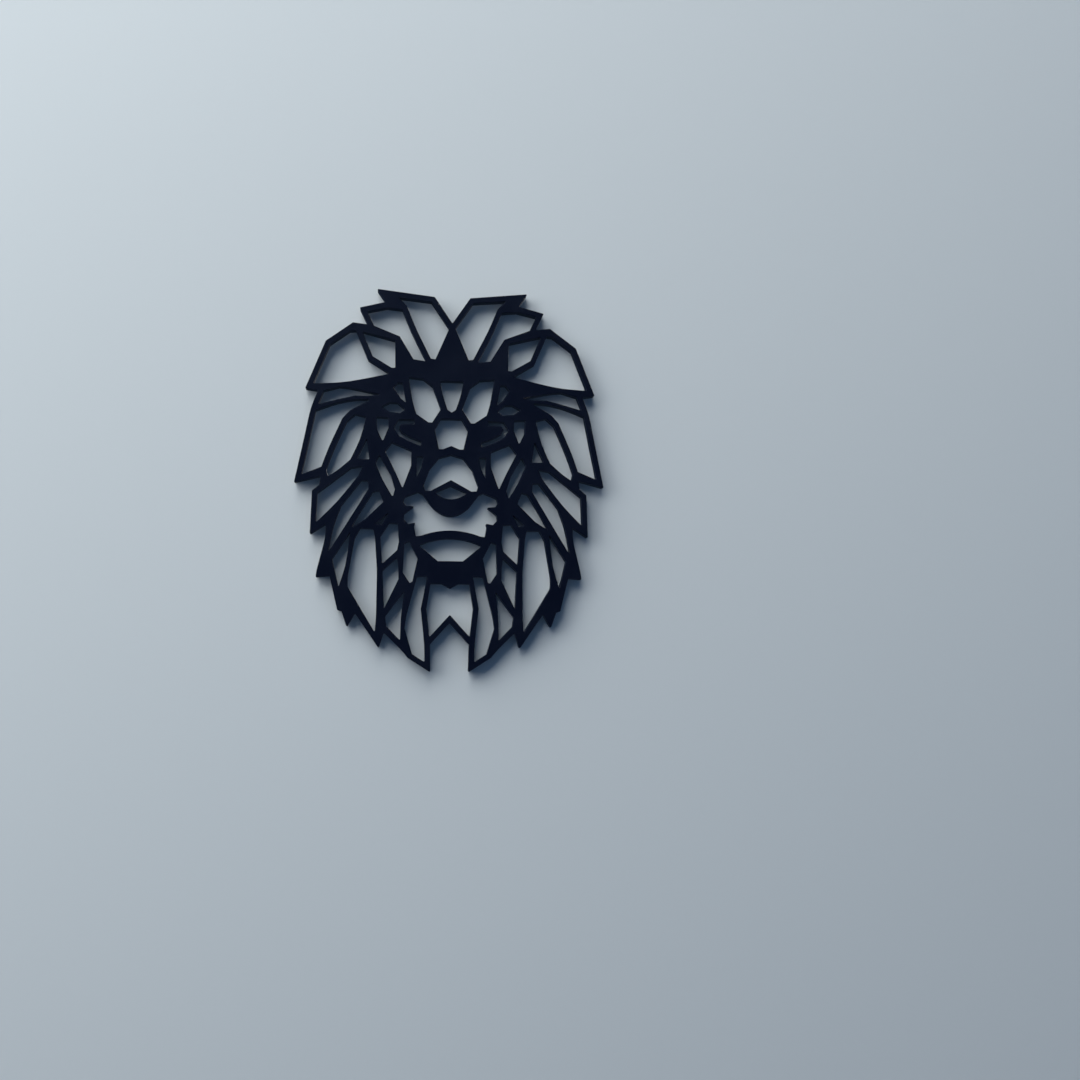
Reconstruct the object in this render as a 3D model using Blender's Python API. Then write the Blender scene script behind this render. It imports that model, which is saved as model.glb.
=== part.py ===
"""Lion wall sculpture: one flat openwork plate, drawn like a leaded window.

Half of the face is a net of joints where bars meet. Cells are rings of joints,
and each opening is its ring drawn in by half a bar. The other half is the mirror
image. X is the viewer's right, Z is up, the face looks along -Y, and the origin
is on the back of the solid forehead, where the plate is fixed.
"""
import bpy
import bmesh
from mathutils import Vector
from mathutils.geometry import delaunay_2d_cdt

MM = 0.001
BAR = 2.8            # width of a bar whose two openings share its joints, mm
THICKNESS = 5.0      # depth of the plate, mm
EYE_SLOT = 2.3       # width of the slit that draws the eye, mm
ARC_STEPS = 8        # straight pieces in half of a curved lip
MEET = 1e-6          # distance below which two corners count as one, mm
PLASTIC = (0.012, 0.013, 0.018, 1.0)
PLASTIC_ROUGHNESS = 0.6

# Where bars meet, as (out from the middle line, up from the mount) in mm.
CROWN = {
    "crown_notch": (0.0, 19.9), "crown_top": (10.2, 35.1), "crown_fork": (32.3, 37.3),
    "top_lock_tip": (37.0, 38.0), "top_lock_under": (32.9, 31.9),
    "lock_split": (25.2, 30.3), "lock_waist": (20.2, 18.0), "lock_foot": (12.0, 1.8),
    "peak_foot": (7.9, 1.3), "band_corner": (11.0, -0.2), "side_lock_bend": (34.2, 31.2),
    "side_lock_tip": (46.6, 28.4), "side_lock_root": (42.0, 18.7), "ear_front": (28.5, 13.4),
    "band_top": (21.1, 1.2),
}
EAR = {
    "ear_top": (51.6, 19.8), "ear_crest": (49.4, 18.6), "ear_shoulder": (54.0, 18.0),
    "ear_side": (64.7, 10.1), "ear_tip": (74.0, -13.4), "ear_sill_out": (57.8, -12.5),
    "ear_sill_in": (46.7, -10.4), "ear_sill_end": (28.8, -6.1), "ear_fold": (42.6, 2.5),
    "ear_hollow": (32.0, -3.8), "ear_heel": (28.3, -3.8), "ear_notch": (67.4, -14.4),
    "strand_tip": (29.0, -17.0), "strand_top": (52.8, -12.3), "strand_crest": (58.5, -11.8),
    "strand_low": (59.9, -21.5), "strand_mid": (50.0, -19.1), "strand_under": (43.5, -19.2),
    "shoulder": (71.5, -24.9),
}
MANE = {
    "wide_lock_root": (42.0, -18.0), "wide_lock_rise": (50.5, -18.3),
    "wide_lock_brow": (60.2, -20.4), "wide_lock_side": (74.4, -40.0),
    "wide_lock_tip": (78.8, -62.0), "wide_lock_under": (65.5, -58.5),
    "wide_lock_bend": (52.0, -26.8), "wide_lock_fold": (47.7, -24.2),
    "wide_lock_heel": (41.8, -21.2), "wide_split_top": (55.4, -30.6),
    "wide_split_mid": (62.2, -46.2), "wide_split_low": (65.8, -56.6),
    "long_lock_root": (42.7, -27.9), "long_lock_top": (50.2, -25.9),
    "long_lock_tip": (64.3, -62.7), "long_lock_under": (57.7, -58.3),
    "long_lock_heel": (51.0, -52.3), "long_lock_flank": (46.0, -41.5),
    "temple_top": (43.0, -35.0), "temple_low": (40.9, -52.6),
    "low_lock_root": (43.3, -52.9), "low_lock_brow": (52.2, -54.5),
    "low_lock_notch": (66.5, -65.7), "low_lock_corner": (70.0, -68.6),
    "low_lock_tip": (70.6, -88.0), "low_lock_under": (62.5, -82.6),
    "low_split_in": (46.9, -60.8), "low_split_mid": (57.6, -74.8),
    "blade_root": (41.5, -60.9), "blade_side": (61.2, -84.6), "blade_flank": (62.8, -92.5),
    "blade_point": (65.0, -104.6), "blade_split": (60.0, -98.3),
    "spur_side": (66.9, -109.4), "spur_tip": (67.1, -111.1), "spur_root": (60.6, -110.5),
    "tuft_one": (56.3, -128.2), "tuft_one_in": (54.2, -128.9),
    "tuft_two": (52.2, -134.7), "tuft_root": (48.5, -128.3),
}
CHEEK = {
    "streak_top": (36.4, -65.5), "streak_out": (41.2, -67.0), "streak_mid": (49.2, -80.4),
    "streak_tip": (54.8, -90.9), "streak_low": (43.2, -83.5), "streak_in": (33.2, -73.5),
    "fleck_top": (27.2, -72.9), "fleck_out": (41.9, -85.4), "fleck_low": (34.8, -86.9),
    "temple_in": (31.5, -27.6), "temple_out": (40.5, -27.2), "temple_side": (39.9, -36.0),
    "temple_point": (35.5, -45.0), "temple_back": (31.4, -34.6),
    "brow_top": (24.6, -8.8), "brow_corner": (29.0, -8.8), "brow_side": (32.2, -12.8),
    "brow_fork": (27.7, -19.5), "brow_root": (21.7, -24.5), "lid_top": (32.3, -19.4),
    "lid_side": (39.4, -22.9), "lid_low": (33.2, -27.1), "lid_in": (26.5, -27.8),
    "front_top": (24.2, -5.5), "front_side": (21.8, -20.4), "front_low": (19.6, -27.5),
    "front_foot": (12.5, -32.3), "front_toe": (9.4, -32.4), "front_in": (4.0, -23.8),
    "front_arch": (8.8, -10.8), "front_peak": (14.4, -6.6),
    "cheek_top": (19.3, -45.2), "cheek_peak": (31.2, -40.2), "cheek_side": (36.0, -46.6),
    "cheek_mid": (30.0, -58.3), "cheek_point": (25.0, -69.7), "cheek_in": (19.4, -54.2),
    "slit_top": (12.8, -47.8), "slit_corner": (19.5, -47.7), "slit_point": (19.3, -66.7),
    "slit_in": (14.3, -55.6), "gill_top": (37.3, -45.7), "gill_out": (40.7, -52.7),
    "gill_side": (36.8, -62.4), "gill_point": (29.6, -74.1), "gill_in": (27.5, -66.4),
}
BEARD = {
    "curl_top": (26.0, -83.2), "curl_corner": (32.4, -82.8), "leaf_in": (37.5, -91.0),
    "leaf_waist": (37.0, -99.0), "curl_fork_out": (36.2, -108.4),
    "curl_fork_in": (26.2, -99.0), "curl_in": (25.2, -93.8), "leaf_top": (38.7, -86.0),
    "leaf_crown": (47.3, -85.8), "leaf_shoulder": (50.6, -92.0), "leaf_side": (54.0, -112.5),
    "leaf_corner": (53.8, -117.7), "leaf_point": (37.3, -145.0), "leaf_foot": (36.4, -134.0),
    "leaf_tip": (36.7, -145.6), "feather_top": (49.4, -83.3), "feather_out": (62.0, -103.0),
    "feather_point": (57.2, -122.8), "feather_in": (52.2, -106.8),
    "wave_point": (34.9, -134.1), "wave_low": (25.2, -113.6), "wave_in": (25.3, -107.0),
    "drop_top": (20.6, -91.7), "drop_side": (25.8, -110.2), "drop_point": (21.2, -117.1),
    "drop_low": (18.2, -115.3), "drop_in": (15.4, -102.0),
    "tress_top": (21.3, -114.1), "tress_side": (34.6, -132.2), "tress_corner": (33.8, -138.0),
    "tress_low": (24.0, -148.2), "tress_in": (23.8, -132.4), "beard_root": (10.0, -110.2),
    "beard_top": (18.2, -110.6), "beard_side": (24.6, -138.6), "beard_bend": (20.4, -152.5),
    "beard_tip": (11.2, -158.4), "beard_waist": (13.5, -128.3), "beard_fork": (11.5, -146.2),
    "beard_notch": (0.0, -133.5), "leaf_notch": (34.4, -138.0),
}
JOINTS = {**CROWN, **EAR, **MANE, **CHEEK, **BEARD}

# The edge of the plate, from the notch at the top round to the notch in the beard.
EDGE = """crown_notch crown_top top_lock_tip top_lock_under side_lock_tip side_lock_root
    ear_top ear_side ear_tip ear_notch shoulder wide_lock_side wide_lock_tip wide_lock_under
    low_lock_notch low_lock_corner low_lock_tip low_lock_under blade_flank spur_side spur_tip
    spur_root tuft_one tuft_one_in tuft_two tuft_root leaf_tip leaf_notch tress_low beard_bend
    beard_tip beard_fork beard_notch"""

# Each opening beside the middle line, as the ring of joints around it.
CELLS = {
    "top_lock": "crown_notch crown_top crown_fork lock_split lock_waist lock_foot peak_foot",
    "side_lock": """lock_split side_lock_bend side_lock_tip side_lock_root ear_front band_top
        band_corner lock_waist""",
    "ear_rim": """ear_crest ear_shoulder ear_side ear_tip ear_sill_out ear_sill_in
        ear_sill_end ear_fold""",
    "ear_well": "ear_front ear_crest ear_fold ear_hollow ear_heel",
    "ear_strand": """strand_tip strand_top strand_crest ear_notch shoulder strand_low
        strand_mid strand_under""",
    "wide_lock": """wide_lock_root wide_lock_rise wide_lock_brow shoulder wide_lock_side
        wide_lock_tip wide_split_low wide_split_mid wide_split_top wide_lock_bend
        wide_lock_fold wide_lock_heel""",
    "long_lock": """long_lock_root long_lock_top wide_split_top wide_split_mid wide_split_low
        long_lock_tip long_lock_under long_lock_heel long_lock_flank""",
    "temple_gap": "temple_top long_lock_heel temple_low",
    "temple": "temple_in temple_out temple_side temple_point temple_back",
    "brow": "brow_top brow_corner brow_side brow_fork brow_root",
    "lid": "brow_root brow_fork lid_top lid_side lid_low lid_in",
    "front": """front_top front_side front_low front_foot front_toe front_in front_arch
        front_peak""",
    "cheek": "cheek_top cheek_peak cheek_side cheek_mid cheek_point cheek_in",
    "slit": "slit_top slit_corner cheek_in slit_point slit_in",
    "gill": "gill_top gill_out gill_side gill_point gill_in cheek_mid",
    "low_lock": """low_lock_root low_lock_brow low_lock_corner low_lock_tip low_split_mid
        low_split_in""",
    "blade": """blade_root low_split_in low_split_mid blade_side blade_flank blade_point
        blade_split streak_mid streak_out""",
    "streak": "streak_top streak_out streak_mid streak_tip streak_low streak_in",
    "fleck": "fleck_top fleck_out fleck_low",
    "curl": "curl_top curl_corner leaf_in leaf_waist curl_fork_out curl_fork_in curl_in",
    "leaf": """leaf_top leaf_crown leaf_shoulder leaf_side leaf_corner leaf_point leaf_foot
        curl_fork_out leaf_waist leaf_in""",
    "feather": "feather_top feather_out feather_point feather_in",
    "wave": "curl_fork_in curl_fork_out wave_point wave_low wave_in",
    "drop": "drop_top curl_in drop_side drop_point drop_low drop_in",
    "tress": "tress_top tress_side tress_corner tress_low tress_in",
    "beard": """beard_root beard_top tress_in beard_side beard_bend beard_tip beard_fork
        beard_waist""",
}

# Openings that the middle line cuts in two: their right half, from top to bottom, mm.
MIDDLE_CELLS = {
    "forehead": [(0, -7.3), (7.8, -7.3), (6.1, -16.6), (3.3, -24.9), (0, -27.1)],
    "bridge": [(0, -27.4), (6.3, -27.5), (10.2, -34.4), (7.5, -46.4), (4.1, -46.4), (0, -44.7)],
    "nose": [(0, -46.4), (7.1, -48.4), (12.5, -55.3), (15.7, -64.3), (14.5, -68.3),
             (10.3, -68.5), (0, -62.8)],
    "chin": [(0, -116.3), (4.0, -114.1), (11.3, -114.1), JOINTS["beard_waist"],
             JOINTS["beard_fork"], JOINTS["beard_notch"]],
}

# The line of the slit round the outer end of an eye, which stays joined at the nose.
EYE_LINE = [(19.2, -30.8), (26.9, -31.0), (28.7, -33.9), (26.9, -37.2), (22.3, -40.0),
            (15.7, -42.4)]

# Curves across the middle line, as (half width, height in the middle, drop to the ends).
NOSTRIL_BOWL = (8.3, -71.3, -3.3)
NOSE_FOOT = (9.6, -80.3, -4.7)
LOWER_LIP = (15.4, -87.7, 2.9)
MOUTH_ARCH = (16.2, -92.0, 3.6)
NOSTRIL_PEAK = (0, -64.3)
MOUTH_CORNER = (6.5, -103.7)

# From the nose's flank round the two whiskers to the lip.
WHISKERS = [(14.6, -69.0), (17.0, -67.8), (23.8, -70.5), (24.6, -73.0), (23.2, -75.0),
            (18.7, -75.4), (22.0, -77.7), (24.1, -79.6), (24.2, -82.2), (22.0, -84.5),
            (18.2, -83.8), (18.9, -85.7), (17.9, -90.9)]


def mirrored(points):
    """The points with their other halves, which run back up the left side."""
    return list(points) + [(-x, z) for x, z in reversed(points) if x > 0]


def arch(half_width, top, drop):
    """Points on a parabola, from its foot at half_width to its top on the middle line.

    The foot is drop below the top. A negative drop gives a bowl.
    """
    spread = [half_width * (1 - step / ARC_STEPS) for step in range(ARC_STEPS + 1)]
    return [(x, top - drop * (x / half_width) ** 2) for x in spread]


def area(points):
    """Signed area of a closed ring: positive where it runs anticlockwise."""
    after = points[1:] + points[:1]
    return 0.5 * sum(x0 * z1 - x1 * z0 for (x0, z0), (x1, z1) in zip(points, after))


def shift_corner(before, corner, after, distance):
    """The corner where both its sides, moved to their right by distance, meet again."""
    into = Vector(corner) - Vector(before)
    away = Vector(after) - Vector(corner)
    right_in = Vector((into.y, -into.x)).normalized()
    right_out = Vector((away.y, -away.x)).normalized()
    moved = Vector(corner) + distance * (right_in + right_out) / (1.0 + right_in.dot(right_out))
    return moved.x, moved.y


def grown(ring, distance):
    """A closed ring with every side moved outwards by distance, or inwards if negative."""
    ring = ring if area(ring) > 0 else ring[::-1]
    count = len(ring)
    return [shift_corner(ring[i - 1], ring[i], ring[(i + 1) % count], distance)
            for i in range(count)]


def slot(path, width):
    """The outline of a slit of the given width along an open path."""
    ends = [tuple(2 * a - b for a, b in zip(path[0], path[1])),
            tuple(2 * a - b for a, b in zip(path[-1], path[-2]))]
    line = [ends[0]] + list(path) + [ends[1]]
    sides = [[shift_corner(*line[i:i + 3], half) for i in range(len(path))]
             for half in (width / 2, -width / 2)]
    return sides[0] + sides[1][::-1]


def at(names):
    """The places of the joints that are named in a string."""
    return [JOINTS[name] for name in names.split()]


def nostrils():
    """The lens under the tip of the nose: a peaked top over a round bottom."""
    return mirrored([NOSTRIL_PEAK] + arch(*NOSTRIL_BOWL))


def muzzle():
    """The space round the nose, with two whiskers each side and the lip below."""
    return mirrored(arch(*NOSE_FOOT)[::-1] + WHISKERS + arch(*LOWER_LIP))


def mouth():
    """The open mouth: an arched top, sloping corners and a flat bottom."""
    return mirrored(arch(*MOUTH_ARCH)[::-1] + [MOUTH_CORNER])


def openings():
    """Every opening in the plate, right, left and middle."""
    half = BAR / 2
    rings = [grown(at(names), -half) for names in CELLS.values()]
    rings.append(slot(EYE_LINE, EYE_SLOT))
    rings += [[(-x, z) for x, z in ring] for ring in rings]
    rings += [grown(mirrored(points), -half) for points in MIDDLE_CELLS.values()]
    rings += [nostrils(), muzzle(), mouth()]
    return rings


def plate(name, edge, holes, thickness):
    """A closed plate with its back at y = 0 and its face at y = -thickness."""
    rings = [ring if area(ring) > 0 else ring[::-1] for ring in [edge] + holes]
    points = [Vector(point) for ring in rings for point in ring]
    faces, start = [], 0
    for ring in rings:
        faces.append(list(range(start, start + len(ring))))
        start += len(ring)
    corners, _, triangles, _, _, sources = delaunay_2d_cdt(points, [], faces, 1, MEET, True)
    assert len(corners) == len(points), "two openings cross"

    form = bmesh.new()
    vertices = [form.verts.new((x * MM, -thickness * MM, z * MM)) for x, z in corners]
    for triangle, source in zip(triangles, sources):
        if source == [0]:
            form.faces.new([vertices[index] for index in triangle])
    raised = bmesh.ops.extrude_face_region(form, geom=form.faces[:])
    back = [item for item in raised["geom"] if isinstance(item, bmesh.types.BMVert)]
    bmesh.ops.translate(form, verts=back, vec=(0, thickness * MM, 0))
    bmesh.ops.recalc_face_normals(form, faces=form.faces[:])
    mesh = bpy.data.meshes.new(name)
    form.to_mesh(mesh)
    form.free()
    solid = bpy.data.objects.new(name, mesh)
    bpy.context.scene.collection.objects.link(solid)
    return solid


def matte_black():
    """Matte black plastic, a little blue in cool daylight."""
    material = bpy.data.materials.new("matte_black_plastic")
    material.use_nodes = True
    shader = material.node_tree.nodes["Principled BSDF"]
    shader.inputs["Base Color"].default_value = PLASTIC
    shader.inputs["Roughness"].default_value = PLASTIC_ROUGHNESS
    shader.inputs["Metallic"].default_value = 0.0
    return material


def main():
    for item in list(bpy.data.objects):
        bpy.data.objects.remove(item, do_unlink=True)
    edge = grown(mirrored(at(EDGE)), BAR / 2)
    lion = plate("lion_head", edge, openings(), THICKNESS)
    lion.data.materials.append(matte_black())


main()
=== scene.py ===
# %% [markdown]
# # A printed lion head, dressed for its portrait
#
# The object is one flat plate, 5 mm thick, with a lion's face drawn in thin bars. The
# solid model already has the drawing: the outline and sixty-one openings, all with dead
# sharp edges. What it lacks is what the making leaves behind. A plate like this is printed
# flat on its back in thin layers, so its edges are rounded by the nozzle, its side walls
# are a stack of fine beads, and its face shows the last lines that were laid.
#
# This notebook reads the drawing back from the solid, carries a printed edge's section
# along every ring of it, closes the front and the back, and paints the result.

import math

import bmesh
import bpy
import numpy as np
from mathutils import Matrix, Vector
from mathutils.geometry import delaunay_2d_cdt


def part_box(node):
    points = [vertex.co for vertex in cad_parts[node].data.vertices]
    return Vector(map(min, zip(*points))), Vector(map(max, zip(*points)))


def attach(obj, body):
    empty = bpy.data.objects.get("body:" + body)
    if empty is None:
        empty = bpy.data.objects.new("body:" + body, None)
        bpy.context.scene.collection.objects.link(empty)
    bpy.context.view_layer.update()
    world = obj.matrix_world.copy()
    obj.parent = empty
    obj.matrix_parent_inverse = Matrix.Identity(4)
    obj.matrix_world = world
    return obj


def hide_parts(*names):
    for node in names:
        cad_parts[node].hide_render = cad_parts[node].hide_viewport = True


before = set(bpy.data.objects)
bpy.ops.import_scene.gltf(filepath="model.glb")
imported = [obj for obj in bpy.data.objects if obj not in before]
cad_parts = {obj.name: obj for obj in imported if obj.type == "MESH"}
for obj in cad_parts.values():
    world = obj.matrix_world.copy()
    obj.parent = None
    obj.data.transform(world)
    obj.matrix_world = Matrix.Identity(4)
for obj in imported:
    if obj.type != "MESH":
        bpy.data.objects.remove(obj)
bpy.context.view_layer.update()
MM = 0.001
plate_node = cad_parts["lion_head"]
low, high = (np.array(corner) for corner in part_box("lion_head"))
thickness = high[1] - low[1]
print("solid:", np.round((high - low) / MM, 2), "mm")

# %% [markdown]
# ## Where the camera stands
#
# The photograph was taken from about two thirds of a metre, a little left of the plate and
# below its chin, looking up and to the right, with the plate well off the middle of the
# frame. A view can be framed with a lens shift or by turning the camera. Turning it is the
# truthful way here, because the openings' side walls show in the photograph just as a
# turned camera sees them.

# %% Camera
CAMERA_PLACE = Vector((-0.0311, -0.6559, -0.1609))
TURN_RIGHT, LOOK_UP, ROLL = 6.82, 6.0, 0.09        # degrees
LENS, SENSOR = 42.0, 36.0                          # mm


def aim(turn_right, look_up, roll):
    """A camera's rotation: it stands level, facing +Y, then rolls, looks up and turns."""
    steps = [Matrix.Rotation(math.radians(-turn_right), 4, "Z"),
             Matrix.Rotation(math.radians(90 + look_up), 4, "X"),
             Matrix.Rotation(math.radians(roll), 4, "Z")]
    return (steps[0] @ steps[1] @ steps[2]).to_euler()


camera = bpy.data.objects.new("camera", bpy.data.cameras.new("camera"))
camera.data.lens, camera.data.sensor_width = LENS, SENSOR
camera.location = CAMERA_PLACE
camera.rotation_euler = aim(TURN_RIGHT, LOOK_UP, ROLL)
bpy.context.scene.collection.objects.link(camera)
bpy.context.scene.camera = camera
middle = Vector((0, 0, (low[2] + high[2]) / 2))
print("camera:", round((CAMERA_PLACE - middle).length, 3), "m away")

# %% [markdown]
# ## Reading the drawing back
#
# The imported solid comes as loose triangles, so the rings of the drawing have to be found
# again. An edge of the front face that only one front triangle uses lies on a ring. Each
# such edge has a direction, with the solid on its left as seen from the front, so it says
# which corner comes after which. That is all a ring is.
#
# The corners could be sorted by walking from one to the next. Pointer jumping does the
# same with whole arrays: every corner looks one back, then two back, then four back, and
# so on, so that ten steps are enough for a thousand corners.

# %% Rings of corners
MERGE = 1e-6                                       # metres


def front_links(node):
    """Corners (x, z) of a plate's front rings, and for each the number of the one after."""
    copy, merged = bmesh.new(), bpy.data.meshes.new("merged")
    copy.from_mesh(node.data)
    bmesh.ops.remove_doubles(copy, verts=copy.verts, dist=MERGE)
    copy.to_mesh(merged)
    copy.free()
    points = np.empty((len(merged.vertices), 3))
    merged.vertices.foreach_get("co", points.ravel())
    triangles = np.empty((len(merged.polygons), 3), int)
    merged.loops.foreach_get("vertex_index", triangles.ravel())
    bpy.data.meshes.remove(merged)
    on_front = points[:, 1] < points[:, 1].min() + MERGE
    front = triangles[on_front[triangles].all(1)]
    start, end = front.ravel(), np.roll(front, -1, 1).ravel()
    rim = ~np.isin(start * len(points) + end, end * len(points) + start)
    start, end = start[rim], end[rim]
    number = np.full(len(points), -1)
    number[start] = np.arange(len(start))
    return points[start][:, [0, 2]], number[end]


def walking_order(after):
    """The corners' numbers, ring by ring and in walking order, and each ring's length.

    A ring's head is its lowest number. Doubling the jump each time, every corner learns
    its head and how many steps it comes after it.
    """
    numbers = np.arange(len(after))
    before = np.empty_like(after)
    before[after] = numbers
    rounds = len(after).bit_length()
    head, jump = numbers.copy(), before.copy()
    for _ in range(rounds):
        head = np.minimum(head, head[jump])
        jump = jump[jump]
    steps = (head != numbers).astype(int)
    jump = np.where(head == numbers, numbers, before)
    for _ in range(rounds):
        steps, jump = steps + steps[jump], jump[jump]
    return np.lexsort((steps, head)), np.unique(head, return_counts=True)[1]


def ring_starts(sizes):
    """Where each ring starts when rings are laid end to end: the sum of the sizes before."""
    return np.cumsum(sizes) - sizes


def next_round(sizes):
    """For every point of rings laid end to end, the number of the next one in its ring."""
    after = np.arange(sizes.sum()) + 1
    after[ring_starts(sizes) + sizes - 1] = ring_starts(sizes)
    return after


loose, loose_after = front_links(plate_node)
order, ring_sizes = walking_order(loose_after)
corners = loose[order]
following = next_round(ring_sizes)
leading = np.empty_like(following)
leading[following] = np.arange(len(corners))
print("rings:", len(ring_sizes), "with", len(corners), "corners")

# %% [markdown]
# ## Corners that a nozzle can make
#
# A nozzle can't turn on the spot, so every corner of the drawing is a small arc. The arc
# of a ring and those of its insets share one centre, as lanes round a bend do: going into
# the solid, the arc grows round an inner corner and shrinks round an outer one. That keeps
# every wall the same thickness and stops neighbouring rows from crossing.
#
# Long thin slivers need care. A fixed radius would eat millimetres off their points, so
# the radius is also limited by how much of the point may go.

# %% Arcs at the corners
NOZZLE_RADIUS = 0.38 * MM      # at an ordinary corner
LARGEST_CUT = 0.55 * MM        # how much of a sharp point may be lost
BEND = 0.21                    # radians: a smaller turn belongs to a curve and is smoothed
SIDE_SHARE = 0.42              # the share of a side that one arc may take
LEAST_RADIUS = 0.02 * MM
LEAST_HALF_TURN = 1e-4         # radians: these two keep a straight corner from
LEAST_EXCESS = 1e-9            # dividing by zero
ARC_POINTS = 3


def turned(vectors, angle):
    """The plane vectors turned anticlockwise by an angle: a rotation matrix, written out."""
    cos, sin = np.cos(angle), np.sin(angle)
    x, z = vectors[..., 0], vectors[..., 1]
    return np.stack([cos * x - sin * z, sin * x + cos * z], -1)


def corner_shapes(points):
    """What each corner needs for its arc.

    The mitre is the vector by which the corner moves when both its sides move to the left
    by one unit: the sum of their normals, divided by 1 plus the normals' dot product.
    """
    side = points[following] - points
    length = np.linalg.norm(side, axis=1)
    ahead = side / length[:, None]
    behind = ahead[leading]
    turn = np.arctan2(behind[:, 0] * ahead[:, 1] - behind[:, 1] * ahead[:, 0],
                      (behind * ahead).sum(1))
    left_behind, left_ahead = turned(behind, math.pi / 2), turned(ahead, math.pi / 2)
    mitre = (left_behind + left_ahead) / (1 + (left_behind * left_ahead).sum(1))[:, None]
    half = np.abs(turn) / 2
    room = SIDE_SHARE * np.minimum(length, length[leading])
    by_cut = LARGEST_CUT / np.maximum(1 / np.cos(half) - 1, LEAST_EXCESS)
    by_room = room / np.tan(np.maximum(half, LEAST_HALF_TURN))
    radius = np.minimum(np.minimum(NOZZLE_RADIUS, by_cut), by_room)
    radius = np.where(2 * half < BEND, by_room, radius)
    return turn, mitre, left_behind, radius


turn, mitre, left_behind, radius = corner_shapes(corners)


def inset_ring(inset):
    """Every ring moved into the solid by an inset, as ARC_POINTS points for each corner.

    Centre = corner + mitre * (inset + side * radius), where side is 1 at a corner that
    juts out and -1 at one that the solid surrounds. The points lie on the arc between the
    two sides' normals.
    """
    side = np.sign(turn)
    arc = np.where(side > 0, np.maximum(radius - inset, LEAST_RADIUS), radius + inset)
    centre = corners + mitre * (inset + side * arc)[:, None]
    share = np.linspace(0, 1, ARC_POINTS)
    spokes = turned(left_behind[:, None, :], turn[:, None] * share)
    points = centre[:, None, :] - spokes * (side * arc)[:, None, None]
    return points.reshape(-1, 2)


print("arc radii:", np.round(np.percentile(radius / MM, [0, 25, 50]), 2), "mm")

# %% [markdown]
# ## The section of a printed edge
#
# Cut through a bar and look at its edge, from the back to the front. The first layer was
# squeezed on to the bed, so the edge starts with a small rounded foot. Then come the
# layers: each is a bead that bulges a few hundredths of a millimetre and is nipped in
# where it meets the next. On top the last bead is free, so it is round, and behind it a
# shallow valley shows where the next line was laid beside it.
#
# No two layers land quite in line, so each is drawn in by a small chance amount. The
# chance comes from a seeded generator, and the plate is the same every time.

# %% Section
LAYER = 0.25 * MM
NIP = 0.034 * MM               # depth of the nick between two layers
WANDER = 0.010 * MM            # how far a layer may lie inside the next
SEED = 5
FOOT = [(0.150, 0.0), (0.055, 0.035), (0.008, 0.125)]              # mm
CREST = [(0.0, 0.150), (0.030, 0.075), (0.095, 0.020), (0.200, 0.0), (0.320, 0.014),
         (0.430, 0.044), (0.530, 0.026)]                           # mm


def edge_section():
    """Rows of the section, from the back's rim to the front's: inset and depth, metres.

    The foot is (inset, height over the back), the crest (inset, depth under the front),
    and between them the rows alternate: a nick at each layer's foot, a bulge at its middle.
    """
    layers = round(thickness / LAYER)
    chance = np.random.default_rng(SEED)
    heights = np.arange(2, 2 * layers - 1) * LAYER / 2
    nicks = np.arange(len(heights)) % 2 == 0
    wander = np.repeat(chance.uniform(0, WANDER, layers), 2)[:len(heights)]
    wall = np.column_stack([np.where(nicks, NIP, 0) + wander, high[1] - heights])
    foot = np.array(FOOT) * MM * [1, -1] + [0, high[1]]
    crest = np.array(CREST) * MM + [0, low[1]]
    return np.vstack([foot, wall, crest])


section = edge_section()
print("section:", len(section), "rows for", round(thickness / LAYER), "layers")

# %% [markdown]
# ## Carrying the section along the rings
#
# The surface is a grid: one way runs along the rings, the other along the section. Rows of
# the grid are insets of the same rings, so a point keeps its number from row to row and
# the wall is a plain sheet of quads, closed round each ring.
#
# The flat front and back are what is left inside the first and last rows. They are filled
# with a constrained triangulation, which takes the outline and the openings as they are
# and adds no points of its own.

# %% Wall and caps
CAP_MERGE = 0.1 * MERGE        # the rounded corners of slivers have points close together
INSIDE_ONLY = 1                # the mode that leaves out what lies outside every ring


def wall_grid(rows):
    """Points of the wall, row by row, as an array of rows x points x 3."""
    flat = np.stack([inset_ring(inset) for inset, _ in rows])
    depth = np.broadcast_to(rows[:, 1, None], flat.shape[:2])
    return np.stack([flat[..., 0], depth, flat[..., 1]], -1)


def wall_quads(row_count, sizes):
    """Quads between neighbouring rows: point, next point, and the same two a row on."""
    total = sizes.sum()
    here, after = np.arange(total), next_round(sizes)
    row = np.arange(row_count - 1)[:, None] * total
    return np.stack([row + here, row + after, row + after + total, row + here + total], -1)


def cap_triangles(points, sizes):
    """Triangles between the outline, which is the widest ring, and the openings.

    The triangulation names the rings that each triangle lies in. Those that lie in the
    outline alone are kept.
    """
    spans = np.split(np.arange(len(points)), ring_starts(sizes)[1:])
    outline = int(np.argmax([np.ptp(points[span, 0]) for span in spans]))
    rings = [spans[outline]] + [span[::-1] for i, span in enumerate(spans) if i != outline]
    _, _, faces, sources, _, owners = delaunay_2d_cdt(
        points.tolist(), [], [ring.tolist() for ring in rings], INSIDE_ONLY, CAP_MERGE, True)
    assert all(len(source) == 1 for source in sources), "two rings cross"
    inside = [face for face, owner in zip(faces, owners) if owner == [0]]
    return np.array(sources)[:, 0][np.array(inside)]


grid = wall_grid(section)
arc_sizes = ring_sizes * ARC_POINTS
quads = wall_quads(len(section), arc_sizes)
back_cap = cap_triangles(grid[0][:, [0, 2]], arc_sizes)[:, ::-1]
front_start = arc_sizes.sum() * (len(section) - 1)
front_cap = cap_triangles(grid[-1][:, [0, 2]], arc_sizes) + front_start
print("wall:", quads[..., 0].size, "quads, caps:", len(back_cap), len(front_cap), "triangles")

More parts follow.
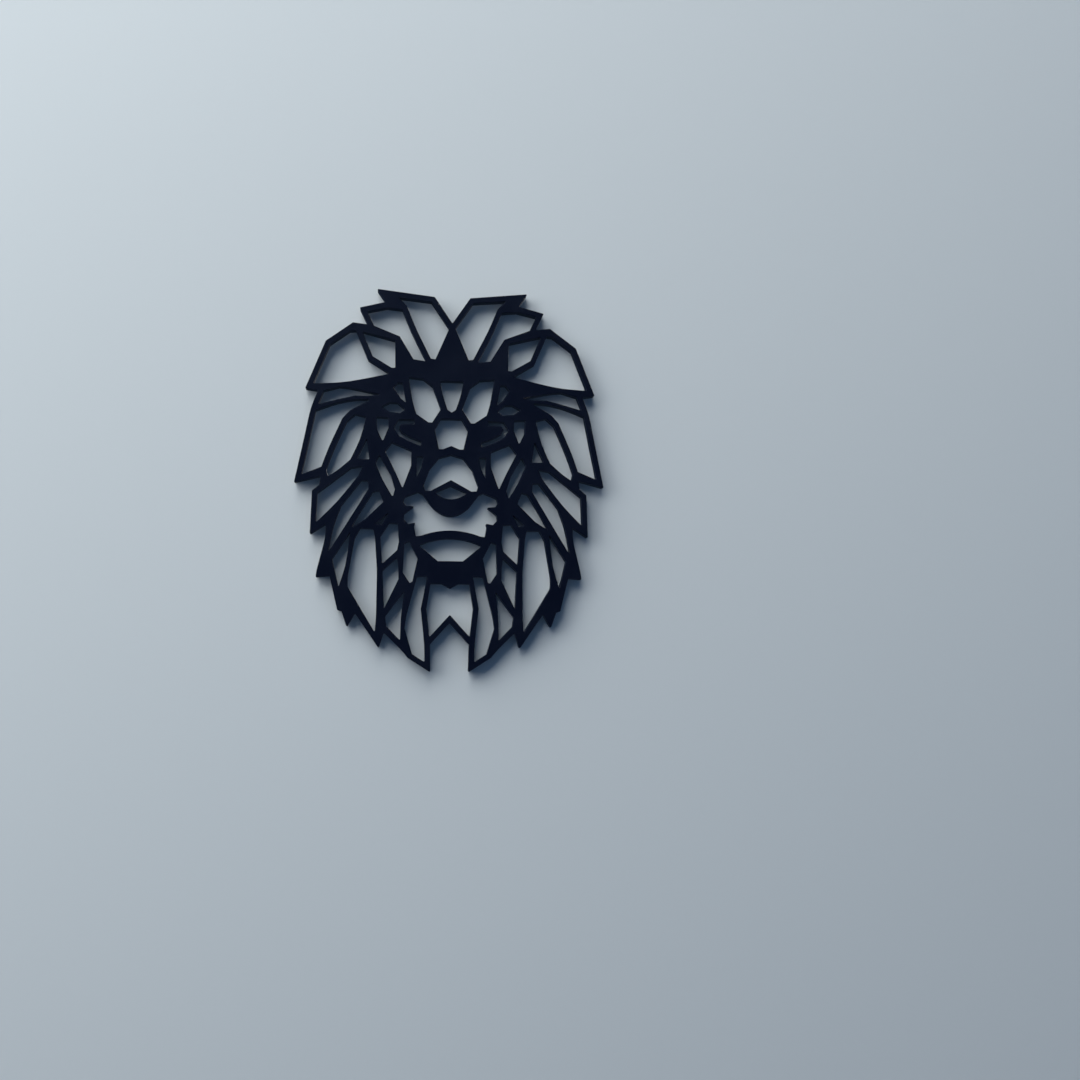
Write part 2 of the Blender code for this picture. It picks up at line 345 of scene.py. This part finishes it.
# %% [markdown]
# ## Putting the plate together
#
# All points and faces go into one mesh, which is closed: the caps share their corners with
# the wall. Smooth shading would bend the light on the flats where they meet the rounded
# rim, so the caps are shaded flat. Each point also remembers its inset, so the finish can
# tell a rounded edge from the flat inside it.

# %% Plate
SHARP_TURN = math.radians(50)


def mesh_piece(name, points, faces):
    """A smooth piece made of points and of groups of faces with equal corner counts."""
    mesh = bpy.data.meshes.new(name)
    mesh.from_pydata(points, [], [face for group in faces for face in group.tolist()])
    mesh.shade_smooth()
    mesh.set_sharp_from_angle(angle=SHARP_TURN)
    piece = bpy.data.objects.new(name, mesh)
    bpy.context.scene.collection.objects.link(piece)
    return piece


plate = mesh_piece("lion_plate", grid.reshape(-1, 3),
                   [quads.reshape(-1, 4), back_cap, front_cap])
on_wall = np.arange(len(plate.data.polygons)) < quads[..., 0].size
plate.data.polygons.foreach_set("use_smooth", on_wall)
inset_of = np.repeat(section[:, 0], grid.shape[1]) / MM
plate.data.attributes.new("inset", "FLOAT", "POINT").data.foreach_set(
    "value", inset_of.astype(np.float32))
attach(plate, "root")
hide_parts("lion_head")
print("plate:", sum(len(face.vertices) - 2 for face in plate.data.polygons), "triangles")

# %% [markdown]
# ## Writing a finish as sums
#
# A material is a net of nodes, but most of it is arithmetic: waves, masks, blends. A small
# class wraps an output socket, so that a sum on it adds a Math node, and the finish below
# reads like the formula that it is. Everything that isn't arithmetic comes from one
# method, which sets a node's settings first and then fills its inputs.

# %% Sockets that can be added and multiplied
class Wire:
    """An output socket. An operator on it adds the Math node of that name."""

    def __init__(self, paint, socket):
        self.paint, self.socket = paint, socket

    def math(self, operation, *values):
        """Adds a Math node that does this operation on the values."""
        settings = {"operation": operation}
        return self.paint.node("ShaderNodeMath", settings, dict(enumerate(values)))

    def __add__(self, other):
        return self.math("ADD", self, other)

    def __sub__(self, other):
        return self.math("SUBTRACT", self, other)

    def __rsub__(self, other):
        return self.math("SUBTRACT", other, self)

    def __mul__(self, other):
        return self.math("MULTIPLY", self, other)

    def __truediv__(self, other):
        return self.math("DIVIDE", self, other)

    def __rtruediv__(self, other):
        return self.math("DIVIDE", other, self)

    def __gt__(self, other):
        return self.math("GREATER_THAN", self, other)

    def __lt__(self, other):
        return self.math("LESS_THAN", self, other)

    def __abs__(self):
        return self.math("ABSOLUTE", self)

    __radd__, __rmul__ = __add__, __mul__

    def sine(self):
        return self.math("SINE", self)

    def ramp(self, start, end):
        """0 below start, 1 above end and straight between: (value - start) / (end - start)."""
        settings, inputs = {"clamp": True}, {"Value": self, "From Min": start, "From Max": end}
        return self.paint.node("ShaderNodeMapRange", settings, inputs)


class Paint:
    """The net of nodes of a material or of the sky."""

    def __init__(self, owner):
        owner.use_nodes = True
        self.owner, self.tree = owner, owner.node_tree
        self.shader = self.tree.nodes.get("Principled BSDF")

    def fill(self, node, inputs):
        """Sets a node's inputs, each with a value or with a wire."""
        for key, value in inputs.items():
            if isinstance(value, Wire):
                self.tree.links.new(value.socket, node.inputs[key])
            else:
                node.inputs[key].default_value = value

    def node(self, kind, settings=None, inputs=None, output=0):
        """Adds a node: its settings are set first, then its inputs. Gives one output."""
        made = self.tree.nodes.new(kind)
        for key, value in (settings or {}).items():
            setattr(made, key, value)
        self.fill(made, inputs or {})
        return Wire(self, made.outputs[output])


# %% [markdown]
# ## Matte black plastic
#
# Printed black plastic is darker than paint, with a soft sheen that depends on where you
# look. The face was laid in parallel lines, at 45 degrees to the plate's edge, and each
# line is a low ridge. The back lay on the bed, so its lines are pressed nearly flat and it
# is smoother. The side walls have their layers in the mesh already, and only get the
# faint grain that all of it shares.
#
# The lines are drawn by distance across them: the sum of x and z, divided by the square
# root of two. The height is the absolute sine of that distance, which gives round ridges
# with sharp valleys, as beads laid side by side have. Patterns read the object's own
# coordinates, so they stay in place wherever the plate goes.

# %% Finish
LINE = 0.42 * MM               # distance between two laid lines
LINE_DRIFT = 0.3 * MM          # how far the clouds push a line aside
LINE_HEIGHT = 0.016 * MM       # on the face
PRESSED_HEIGHT = 0.005 * MM    # on the back
GRAIN_HEIGHT = 0.006 * MM
CLOUDS, GRAIN = (55, 3), (3200, 2)                 # scale per metre, detail
FINER_SHARE = 0.6                                  # how strong their finer parts are
FLAT_INSET = 0.5               # mm: further in than this, the surface is flat
CREST_START, CREST_END = (0.0, 0.1), (0.28, 0.42)  # mm of inset, from none to full
WORN_CLOUDS, CLOUD_WEAR = (0.42, 0.62), 0.35       # cloud values from none to full, share
RUBBED_CLOUDS, CREST_WEAR = (0.35, 0.6), 0.5       # the same on the rounded crest
ROUGHNESS, CLOUD_ROUGHNESS = 0.43, 0.16
BACK_GLOSS, EDGE_GLOSS = 0.12, 0.06                # what back and edges lose of it
BLACK = (0.0019, 0.0032, 0.0110, 1)
WORN_BLACK = (0.0050, 0.0072, 0.0170, 1)
SHINE, SHEEN = 0.15, (0.48, 0.70, 1.0, 1)


def black_plastic():
    """The plate's finish: near black, with laid lines, grain and slightly worn edges."""
    paint = Paint(bpy.data.materials.new("matte_black_plastic_print"))
    place = paint.node("ShaderNodeTexCoord", output="Object")
    split = paint.node("ShaderNodeSeparateXYZ", inputs={0: place})
    x, y, z = (Wire(paint, split.socket.node.outputs[i]) for i in range(3))
    inset = paint.node("ShaderNodeAttribute", {"attribute_name": "inset"}, output="Fac")

    def noise(scale, detail):
        inputs = {"Vector": place, "Scale": scale, "Detail": detail,
                  "Roughness": FINER_SHARE}
        return paint.node("ShaderNodeTexNoise", inputs=inputs)

    clouds, grain = noise(*CLOUDS), noise(*GRAIN)
    flat = inset > FLAT_INSET
    face = y < -thickness / 2
    rounded = inset.ramp(*CREST_START) * (1 - inset.ramp(*CREST_END)) * face

    half_turns = math.pi / (LINE * math.sqrt(2))
    face_lines = abs(((x + z + clouds * LINE_DRIFT) * half_turns).sine())
    back_lines = abs(((x - z) * half_turns).sine())
    height = (face_lines * LINE_HEIGHT * face + back_lines * PRESSED_HEIGHT * (1 - face)) * flat
    height = height + grain * GRAIN_HEIGHT
    bump = paint.node("ShaderNodeBump", inputs={"Height": height / MM, "Distance": MM})

    wear = clouds.ramp(*WORN_CLOUDS) * CLOUD_WEAR
    wear = wear + rounded * CREST_WEAR * clouds.ramp(*RUBBED_CLOUDS)
    colour = paint.node("ShaderNodeMix", {"data_type": "RGBA"},
                        {"Factor": wear, "A": BLACK, "B": WORN_BLACK}, output="Result")
    roughness = ROUGHNESS + (clouds - 0.5) * CLOUD_ROUGHNESS
    roughness = roughness - (1 - face) * flat * BACK_GLOSS - (1 - flat) * EDGE_GLOSS
    paint.fill(paint.shader, {"Base Color": colour, "Roughness": roughness, "Normal": bump,
                              "Specular IOR Level": SHINE, "Specular Tint": SHEEN})
    return paint.owner


plate.data.materials.append(black_plastic())
print("finish:", plate.data.materials[0].name)

# %% [markdown]
# ## Floor, board and surround
#
# The portrait needs a plain pale setting. The plate has a flat back and is made to lie
# against something, and its soft shadow is what shows how thick it is, so a plain board
# stands just behind it. The board is one-sided: from behind it can't be seen, and it
# keeps no light from the plate's back.
#
# A white studio would throw light back into the shadows. Here they have to stay deep, so
# board and floor are told not to light anything. The floor glows by itself, with the
# colour and strength of the surround, so that the two meet without a horizon.

# %% Stage
PALE = (0.60, 0.66, 0.705, 1)
FLOOR_BASE, FLOOR_GLOW = (0.10, 0.11, 0.12, 1), 0.8
BOARD_GAP = 0.6 * MM
FLOOR_DEPTH, REACH, BOARD_TOP = -1.2, 6.0, 3.0     # metres
STAGE_ROUGHNESS, STAGE_SHINE = 0.9, 0.2


def stage_sheet(name, points, paint):
    """A flat four-cornered piece of the stage, which throws no light on the plate."""
    sheet = mesh_piece(name, points, [np.array([[0, 1, 2, 3]])])
    sheet.data.materials.append(paint.owner)
    sheet.visible_diffuse = sheet.visible_glossy = False
    return sheet


def matte_finish(name, colour, glow):
    """Plain matte paint, which may give some pale light of its own."""
    paint = Paint(bpy.data.materials.new(name))
    paint.fill(paint.shader, {"Base Color": colour, "Roughness": STAGE_ROUGHNESS,
                              "Specular IOR Level": STAGE_SHINE,
                              "Emission Color": PALE, "Emission Strength": glow})
    return paint


def one_sided(paint):
    """Lets everything through where a surface is seen from behind."""
    behind = paint.node("ShaderNodeNewGeometry", output="Backfacing")
    clear = paint.node("ShaderNodeBsdfTransparent")
    shown = Wire(paint, paint.shader.outputs[0])
    mixed = paint.node("ShaderNodeMixShader", inputs={0: behind, 1: shown, 2: clear})
    paint.fill(paint.tree.nodes["Material Output"], {"Surface": mixed})
    return paint


behind = high[1] + BOARD_GAP
upright = [(-REACH, behind, FLOOR_DEPTH), (REACH, behind, FLOOR_DEPTH),
           (REACH, behind, BOARD_TOP), (-REACH, behind, BOARD_TOP)]
board = stage_sheet("board", upright, one_sided(matte_finish("board_paint", PALE, 0)))
board.visible_shadow = False
ground = [(-REACH, -REACH, FLOOR_DEPTH), (REACH, -REACH, FLOOR_DEPTH),
          (REACH, REACH, FLOOR_DEPTH), (-REACH, REACH, FLOOR_DEPTH)]
stage_sheet("floor", ground, matte_finish("floor_paint", FLOOR_BASE, FLOOR_GLOW))
print("stage:", 2 * REACH, "m wide, floor", -FLOOR_DEPTH, "m under the forehead")

# %% [markdown]
# ## Light
#
# The light in the photograph is soft and grazes the plate from the upper left. Two broad
# lamps share it: one high up, whose shadows fall below every bar, and one far to the left.
# A third one, behind, is only there for the back.
#
# The sky does two jobs. It fills the shadows with a little blue light, and it is the
# pale surround where nothing stands. The Light Path node tells the camera's rays from all
# others, so each job has its own colour and strength.

# %% Lamps and sky
LAMPS = {                                          # place, size in metres, power in watts
    "window": ((-0.72, -0.75, 1.50), 1.9, 56.5),
    "side_light": ((-1.50, -0.50, 0.43), 1.2, 18.5),
    "back_light": ((0.5, 0.9, 0.5), 0.5, 9.0),
}
DAYLIGHT = (1.0, 0.985, 0.93)
FILL, FILL_STRENGTH = (0.36, 0.58, 0.95, 1), 0.16


def area_lamp(name, place, size, power):
    """A square lamp that faces the plate's middle."""
    lamp = bpy.data.objects.new(name, bpy.data.lights.new(name, "AREA"))
    lamp.data.size, lamp.data.energy, lamp.data.color = size, power, DAYLIGHT
    lamp.location = place
    lamp.rotation_euler = (middle - lamp.location).to_track_quat("-Z", "Y").to_euler()
    bpy.context.scene.collection.objects.link(lamp)


def soft_sky():
    """A weak fill for the shadows and a pale surround for the camera."""
    sky = Paint(bpy.data.worlds.new("soft_sky"))
    seen = sky.node("ShaderNodeLightPath", output="Is Camera Ray")
    fill = sky.node("ShaderNodeBackground", inputs={"Color": FILL, "Strength": FILL_STRENGTH})
    surround = sky.node("ShaderNodeBackground", inputs={"Color": PALE, "Strength": FLOOR_GLOW})
    mixed = sky.node("ShaderNodeMixShader", inputs={0: seen, 1: fill, 2: surround})
    sky.fill(sky.tree.nodes["World Output"], {"Surface": mixed})
    return sky.owner


for name, (place, size, power) in LAMPS.items():
    area_lamp(name, place, size, power)
bpy.context.scene.world = soft_sky()
bpy.context.scene.view_settings.view_transform = "Standard"
print("lamps:", ", ".join(LAMPS))
